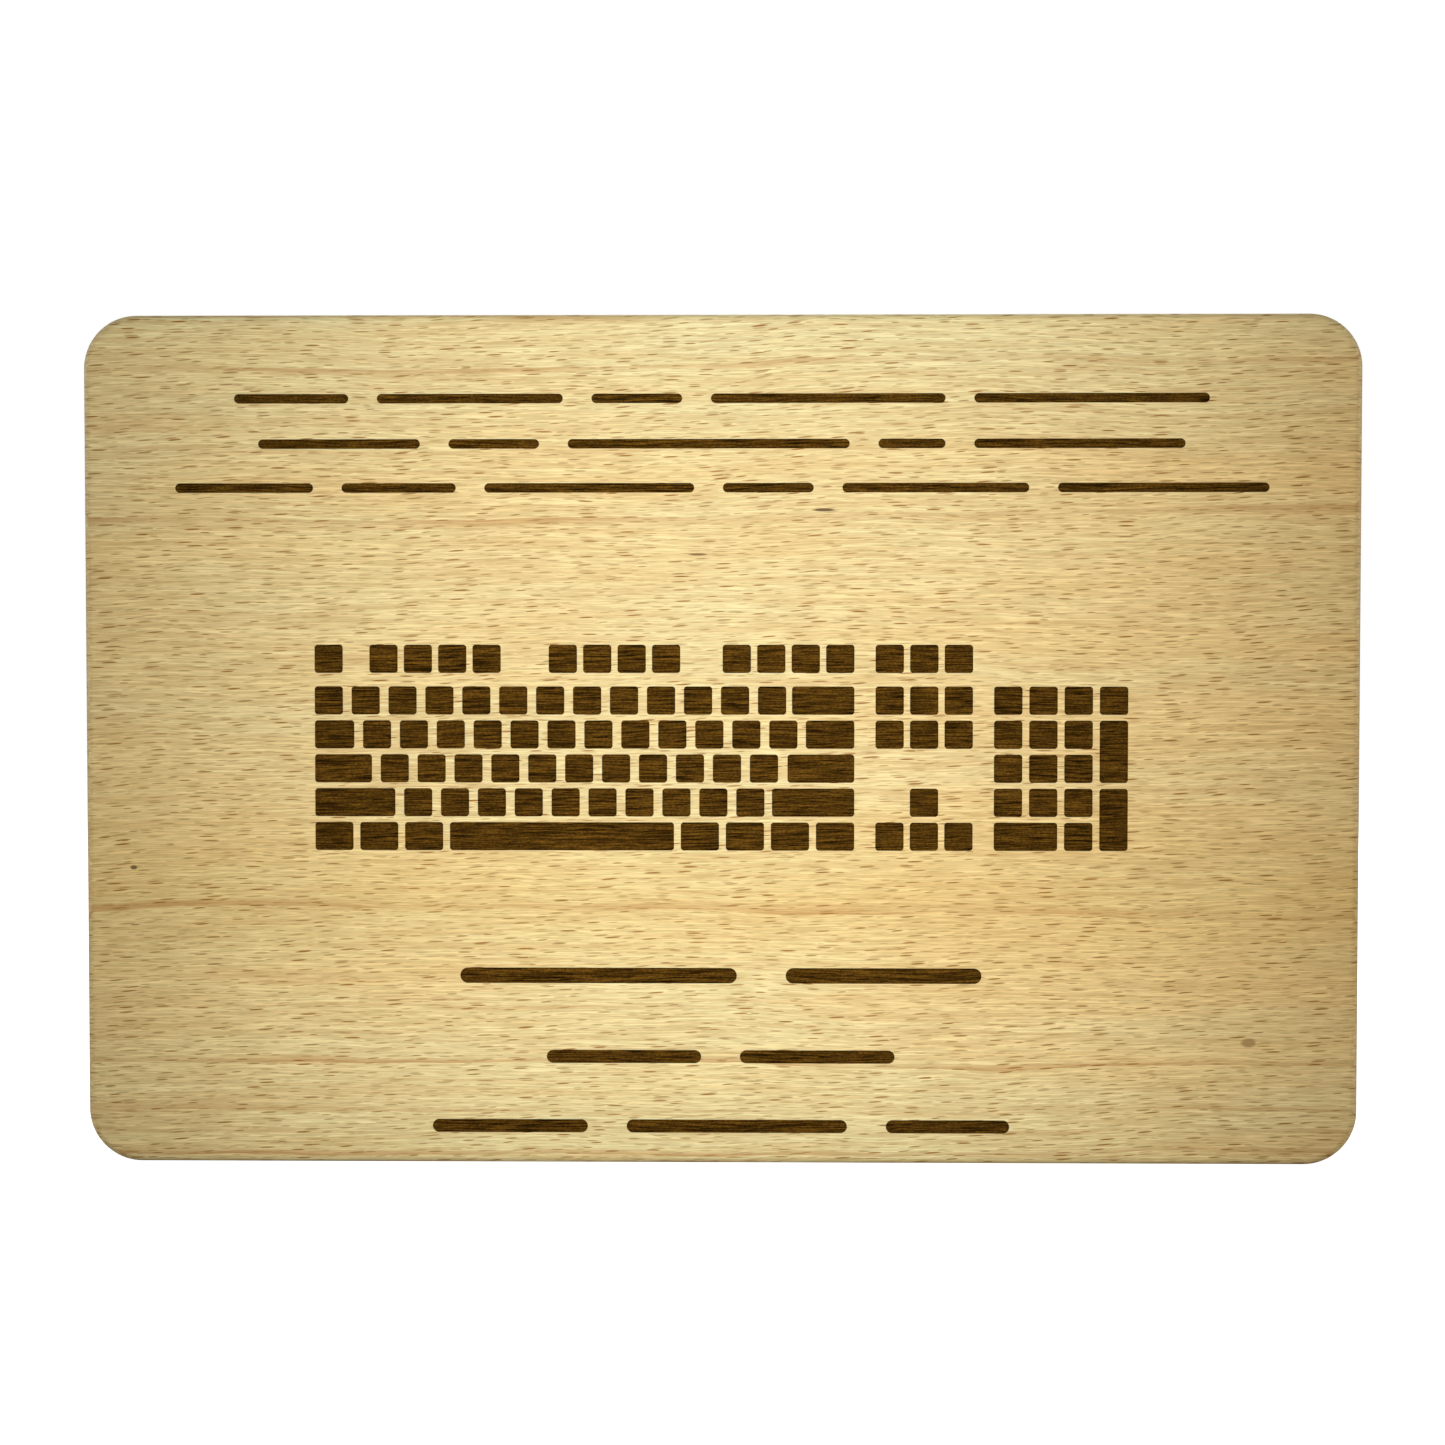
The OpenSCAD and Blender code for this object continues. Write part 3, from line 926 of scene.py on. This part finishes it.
def grow(name, shapes, back_y, thickness, finish, steps):
    """Rounded solids from back_y towards the front, one for each measured shape."""
    points = bpy.data.meshes.new(name + "_points")
    points.from_pydata([(x, back_y, z) for x, z, *_ in shapes], [], [])
    for column, attribute in enumerate(MARK_NUMBERS, start=2):
        values = points.attributes.new(attribute, "FLOAT", "POINT")
        values.data.foreach_set("value", [shape[column] for shape in shapes])
    maker = bpy.data.objects.new(name, points)
    bpy.context.collection.objects.link(maker)
    growth = maker.modifiers.new("rounded marks", "NODES")
    growth.node_group = marks_tree
    given = {"Circle Steps": steps, "Thickness": thickness, "Finish": finish}
    for socket in marks_tree.interface.items_tree:
        if socket.in_out == "INPUT" and socket.name in given:
            growth[socket.identifier] = given[socket.name]
    mesh = plain_mesh(maker, name)
    maker.modifiers.clear()
    maker.data = mesh
    for attribute in (*MARK_NUMBERS, "middle"):
        if attribute in mesh.attributes:
            mesh.attributes.remove(mesh.attributes[attribute])
    return maker


def open_edges(mesh):
    """How many edges don't have exactly two faces, and whether the mesh is turned inside out."""
    shape = bmesh.new()
    shape.from_mesh(mesh)
    count = sum(len(e.link_faces) != 2 for e in shape.edges)
    inside_out = shape.calc_volume(signed=True) < 0
    shape.free()
    return count, inside_out


# %% [markdown]
# ## The burnt layers
#
# Each group of marks has a thin layer of char on the floors of its pockets. It is a piece of its
# own, so that a user can change or leave out one line or one block of keys.

# %% Burnt layers
MARK_STEPS = 32

finished = {}
for name in BURNT_NODES:
    layer = grow(
        "finished_" + name, marks[name], pocket_floor, layer_thickness, charred_wood, MARK_STEPS
    )
    finished[name] = layer
    print(layer.name, len(layer.data.polygons), "faces, open, inside out:", open_edges(layer.data))

# %% [markdown]
# ## The plank
#
# A joiner would plane the board, saw the corners round and run a quarter-round cutter along every
# edge. Here the same shape is built from closed loops: each loop is the board's outline, drawn in
# by as much as the edge's curve calls for at its depth. The pockets and the hanger's recess are
# then cut by an exact Boolean, which is what the laser and the router did. The cutters carry the
# charred finish, and leave it on the pockets' walls.

# %% Plank blank
CORNER_STEPS = 20
EDGE_STEPS = 8

cad_places = [v.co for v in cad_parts["plank"].data.vertices]
side_band = [co for co in cad_places if co.x > plank_high.x - TINY]
edge_radius = plank_high.y - max(co.y for co in side_band)
corner_radius = plank_high.z - max(co.z for co in side_band)
print("corner and edge radius in mm:", round(corner_radius / MM, 2), round(edge_radius / MM, 2))


def outline(inset, y):
    """The board's outline at one depth, drawn in by inset."""
    radius = corner_radius - inset
    half_w = (plank_high.x - plank_low.x) / 2 - corner_radius
    half_h = (plank_high.z - plank_low.z) / 2 - corner_radius
    loop = []
    for quarter, (sx, sz) in enumerate(((1, 1), (-1, 1), (-1, -1), (1, -1))):
        for step in range(CORNER_STEPS + 1):
            angle = math.pi / 2 * (quarter + step / CORNER_STEPS)
            x = plank_middle.x + sx * half_w + radius * math.cos(angle)
            z = plank_middle.z + sz * half_h + radius * math.sin(angle)
            loop.append((x, y, z))
    return loop


def quarter_round(step):
    """How far in and how deep the eased edge is at a step, from the face to the side."""
    angle = math.pi / 2 * step / EDGE_STEPS
    return edge_radius * (1 - math.sin(angle)), edge_radius * (1 - math.cos(angle))


def plank_blank():
    """The board before anything is cut into it."""
    curve = [quarter_round(step) for step in range(EDGE_STEPS + 1)]
    loops = [outline(inset, plank_low.y + depth) for inset, depth in curve]
    loops += [outline(inset, plank_high.y - depth) for inset, depth in reversed(curve)]
    size = len(loops[0])
    faces = [list(range(size)), [(len(loops) - 1) * size + i for i in reversed(range(size))]]
    for row in range(len(loops) - 1):
        for i in range(size):
            j = (i + 1) % size
            here, next_row = row * size, (row + 1) * size
            faces.append([here + j, here + i, next_row + i, next_row + j])
    mesh = bpy.data.meshes.new("plank_blank")
    mesh.from_pydata([co for loop in loops for co in loop], [], faces)
    mesh.materials.append(beech_wood)
    shape = bmesh.new()
    shape.from_mesh(mesh)
    bmesh.ops.recalc_face_normals(shape, faces=shape.faces)
    shape.to_mesh(mesh)
    shape.free()
    return mesh


plank = bpy.data.objects.new("finished_plank", plank_blank())
bpy.context.collection.objects.link(plank)
print("blank open edges and inside out:", open_edges(plank.data))

# %% [markdown]
# ### Cut the board
#
# The hanger's recess is a little larger than its plate, and behind it is room for the head of the
# wall screw. The screws get pilot holes as wide as their shanks.

# %% Cut the pockets and the recess
PAST = 1 * MM
RECESS_GAP = 0.15 * MM
HEAD_ROOM = 5 * MM
HEAD_ROOM_RADIUS = 5.5 * MM
SLOT_HALF = 5 * MM  # half of the slot's straight length
HOLE_RADIUS = 1.55 * MM
HOLE_SPARE = 0.05 * MM  # how much deeper than its screw a hole is
RECESS_STEPS = 64

plate_low, plate_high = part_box("hanger_plate")
screw_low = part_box("hanger_screws")[0]
plate_middle_z = (plate_low.z + plate_high.z) / 2
recess_w = plate_high.x + RECESS_GAP
recess_h = (plate_high.z - plate_low.z) / 2 + RECESS_GAP
screws = loose_parts(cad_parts["hanger_screws"].data)
screw_places = sorted(measure(part)[1] for part in screws)


def cutter(name, shapes, front_y, back_y, finish, steps):
    """Grows solids from back_y to front_y and has the plank cut by them."""
    tool = grow(name, shapes, back_y, back_y - front_y, finish, steps)
    cut = plank.modifiers.new(name, "BOOLEAN")
    cut.operation = "DIFFERENCE"
    cut.solver = "EXACT"
    cut.material_mode = "TRANSFER"
    cut.object = tool
    return tool


wall = plank_high.y
plate_t = plate_high.y - plate_low.y
recess = [(0, plate_middle_z, recess_w, recess_h, recess_w)]
room = [(0, plate_middle_z, HEAD_ROOM_RADIUS, SLOT_HALF + HEAD_ROOM_RADIUS, HEAD_ROOM_RADIUS)]
holes = [(0, z, HOLE_RADIUS, HOLE_RADIUS, HOLE_RADIUS) for z in screw_places]
hole_end = screw_low.y - HOLE_SPARE
every_mark = [mark for name in BURNT_NODES for mark in marks[name]]
tools = [
    cutter("laser", every_mark, plank_low.y - PAST, pocket_floor, charred_wood, MARK_STEPS),
    cutter("recess", recess, wall - plate_t, wall + PAST, beech_wood, RECESS_STEPS),
    cutter("head_room", room, wall - plate_t - HEAD_ROOM, wall + PAST, beech_wood, RECESS_STEPS),
    cutter("pilot_holes", holes, hole_end, wall + PAST, beech_wood, MARK_STEPS),
]
cut_mesh = plain_mesh(plank, "finished_plank")
plank.modifiers.clear()
plank.data = cut_mesh
for tool in tools:
    bpy.data.objects.remove(tool)
print("plank faces:", len(cut_mesh.polygons), "open, inside out:", open_edges(cut_mesh))
print("plank finishes:", [m.name for m in cut_mesh.materials])

# %% [markdown]
# ### Smooth the edges but keep the face flat
#
# Smooth shading would bend light across the whole flat face, so every edge sharper than a sanded
# curve is marked sharp, and the normals are weighted by area, which leaves the big faces flat.

# %% Shading of the plank
CREASE = math.radians(40)


def shade(piece):
    """Smooth shading with creases, and normals that follow the large faces."""
    piece.data.shade_smooth()
    piece.data.set_sharp_from_angle(angle=CREASE)
    weigh = piece.modifiers.new("flat faces win", "WEIGHTED_NORMAL")
    weigh.keep_sharp = True
    mesh = plain_mesh(piece, piece.name)
    piece.modifiers.clear()
    piece.data = mesh


shade(plank)
finished["plank"] = plank
for name in BURNT_NODES:
    shade(finished[name])
print("shaded", len(finished), "pieces")

# %% [markdown]
# ## The hanger plate and its screws
#
# The plate is punched from sheet, so its shape is the CAD node's, and only its edges change: a
# punch and the plating barrel round them by about a tenth of a millimetre. The edges of the screws'
# heads and cross slots are crisper, so theirs are rounded by half of that. A copy of each CAD mesh
# is merged first, because its triangles are loose, and then bevelled.

# %% Hanger plate and screws
FLAT = math.radians(1)  # faces closer in angle than this are joined up


def merged_copy(node, name, finish):
    """A welded copy of a CAD node with its flat faces joined up."""
    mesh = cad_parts[node].data.copy()
    mesh.name = name
    mesh.materials.clear()
    mesh.materials.append(finish)
    shape = bmesh.new()
    shape.from_mesh(mesh)
    bmesh.ops.remove_doubles(shape, verts=shape.verts, dist=TINY)
    bmesh.ops.dissolve_limit(shape, angle_limit=FLAT, verts=shape.verts, edges=shape.edges)
    shape.to_mesh(mesh)
    shape.free()
    for face in mesh.polygons:
        face.material_index = 0
    piece = bpy.data.objects.new(name, mesh)
    bpy.context.collection.objects.link(piece)
    return piece


def soften(piece, width):
    """Rounds every crease of a piece."""
    bevel = piece.modifiers.new("eased edges", "BEVEL")
    bevel.width = width
    bevel.segments = 2
    bevel.limit_method = "ANGLE"
    bevel.angle_limit = CREASE
    mesh = plain_mesh(piece, piece.name)
    piece.modifiers.clear()
    piece.data = mesh


PUNCHED_EDGE = 0.12 * MM
SCREW_EDGE = 0.06 * MM
for node, finish, ease in (
    ("hanger_plate", plate_steel, PUNCHED_EDGE),
    ("hanger_screws", screw_steel, SCREW_EDGE),
):
    piece = merged_copy(node, "finished_" + node, finish)
    soften(piece, ease)
    shade(piece)
    finished[node] = piece
    print(piece.name, len(piece.data.polygons), "faces, open edges:", open_edges(piece.data))

# %% [markdown]
# ## Hand the pieces to the frame
#
# Every piece rides on the one body and stands for its CAD node, which is hidden.

for node, piece in finished.items():
    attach(piece, "root")
    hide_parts(node)
print("pieces handed over:", len(finished))
